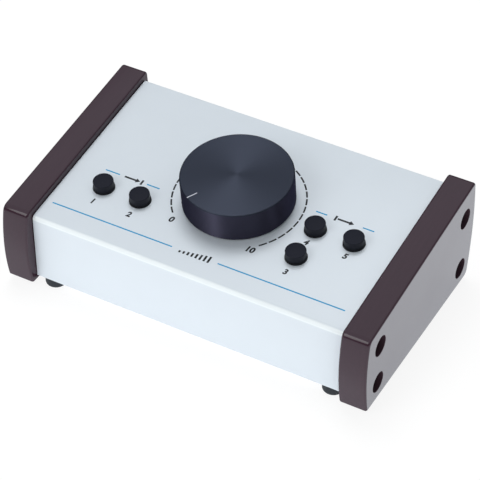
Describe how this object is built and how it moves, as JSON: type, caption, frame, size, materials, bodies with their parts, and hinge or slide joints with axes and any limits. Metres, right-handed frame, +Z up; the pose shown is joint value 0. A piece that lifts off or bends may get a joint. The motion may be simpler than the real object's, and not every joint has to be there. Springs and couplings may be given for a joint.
{
  "type": "studio monitor controller",
  "caption": "Desktop studio monitor controller: a sloped metal box between dark side cheeks, with a large volume knob, round push buttons and jack sockets behind.",
  "frame": {"origin": "on the surface that the feet stand on, under the centre of the object's bounding box", "axes": "+X to the right across the object as seen by its user, +Y from the front to the sockets at the back, +Z up"},
  "size_m": [0.1708, 0.1004, 0.0601],
  "materials": {
    "panel": "fine satin silver, cool tone",
    "cheek": "dark plum-brown satin lacquer",
    "knob": "turned, dark blue-grey anodised",
    "button": "matt black",
    "collar": "matt black",
    "rubber": "matt",
    "screw": "blackened",
    "steel": "bare",
    "nut": "nickel plated",
    "socket": "moulded black",
    "housing": "moulded black",
    "board": "green solder mask",
    "ribbon": "grey insulation"
  },
  "bodies": {
    "root": {"top_cover": "panel", "base_tray": "panel", "left_cheek": "cheek", "left_screw_lower_front": "screw", "left_screw_lower_rear": "screw", "left_screw_upper_front": "screw", "left_screw_upper_rear": "screw", "right_cheek": "cheek", "right_screw_lower_front": "screw", "right_screw_lower_rear": "screw", "right_screw_upper_front": "screw", "right_screw_upper_rear": "screw", "foot_front_left": "rubber", "foot_front_right": "rubber", "foot_rear_left": "rubber", "foot_rear_right": "rubber", "pot_body": "steel", "pot_nut": "steel", "control_board": "board", "jack_board": "board", "ribbon_cable": "ribbon", "input_select_collar": "collar", "input_select_switch": "housing", "input_select_spring": "steel", "mute_collar": "collar", "mute_switch": "housing", "mute_spring": "steel", "mono_collar": "collar", "mono_switch": "housing", "mono_spring": "steel", "output_a_collar": "collar", "output_a_switch": "housing", "output_a_spring": "steel", "output_b_collar": "collar", "output_b_switch": "housing", "output_b_spring": "steel", "input_a_jacks": "socket", "input_a_nut_lower": "nut", "input_a_nut_upper": "nut", "input_b_jacks": "socket", "input_b_nut_lower": "nut", "input_b_nut_upper": "nut", "output_a_jacks": "socket", "output_a_nut_lower": "nut", "output_a_nut_upper": "nut", "output_b_jacks": "socket", "output_b_nut_lower": "nut", "output_b_nut_upper": "nut"},
    "volume": {"volume_knob": "knob", "pot_shaft": "steel"},
    "input_select_button": {"input_select_cap": "button", "input_select_plunger": "housing"},
    "mute_button": {"mute_cap": "button", "mute_plunger": "housing"},
    "mono_button": {"mono_cap": "button", "mono_plunger": "housing"},
    "output_a_button": {"output_a_cap": "button", "output_a_plunger": "housing"},
    "output_b_button": {"output_b_cap": "button", "output_b_plunger": "housing"}
  },
  "joints": [
    {"name": "volume_turn", "type": "hinge", "parent": "root", "child": "volume", "pos_m": [0, 0.00083, 0.043], "axis": [0, 0.1162, -0.9932], "range_deg": [0, 300]},
    {"name": "input_select_press", "type": "slide", "parent": "root", "child": "input_select_button", "axis": [0, 0.1162, -0.9932], "range_m": [0, 0.0022], "stiffness_N_per_m": 400, "springref_m": -0.001, "deforming": ["input_select_spring"]},
    {"name": "mute_press", "type": "slide", "parent": "root", "child": "mute_button", "axis": [0, 0.1162, -0.9932], "range_m": [0, 0.0022], "stiffness_N_per_m": 400, "springref_m": -0.001, "deforming": ["mute_spring"]},
    {"name": "mono_press", "type": "slide", "parent": "root", "child": "mono_button", "axis": [0, 0.1162, -0.9932], "range_m": [0, 0.0022], "stiffness_N_per_m": 400, "springref_m": -0.001, "deforming": ["mono_spring"]},
    {"name": "output_a_press", "type": "slide", "parent": "root", "child": "output_a_button", "axis": [0, 0.1162, -0.9932], "range_m": [0, 0.0022], "stiffness_N_per_m": 400, "springref_m": -0.001, "deforming": ["output_a_spring"]},
    {"name": "output_b_press", "type": "slide", "parent": "root", "child": "output_b_button", "axis": [0, 0.1162, -0.9932], "range_m": [0, 0.0022], "stiffness_N_per_m": 400, "springref_m": -0.001, "deforming": ["output_b_spring"]}
  ]
}
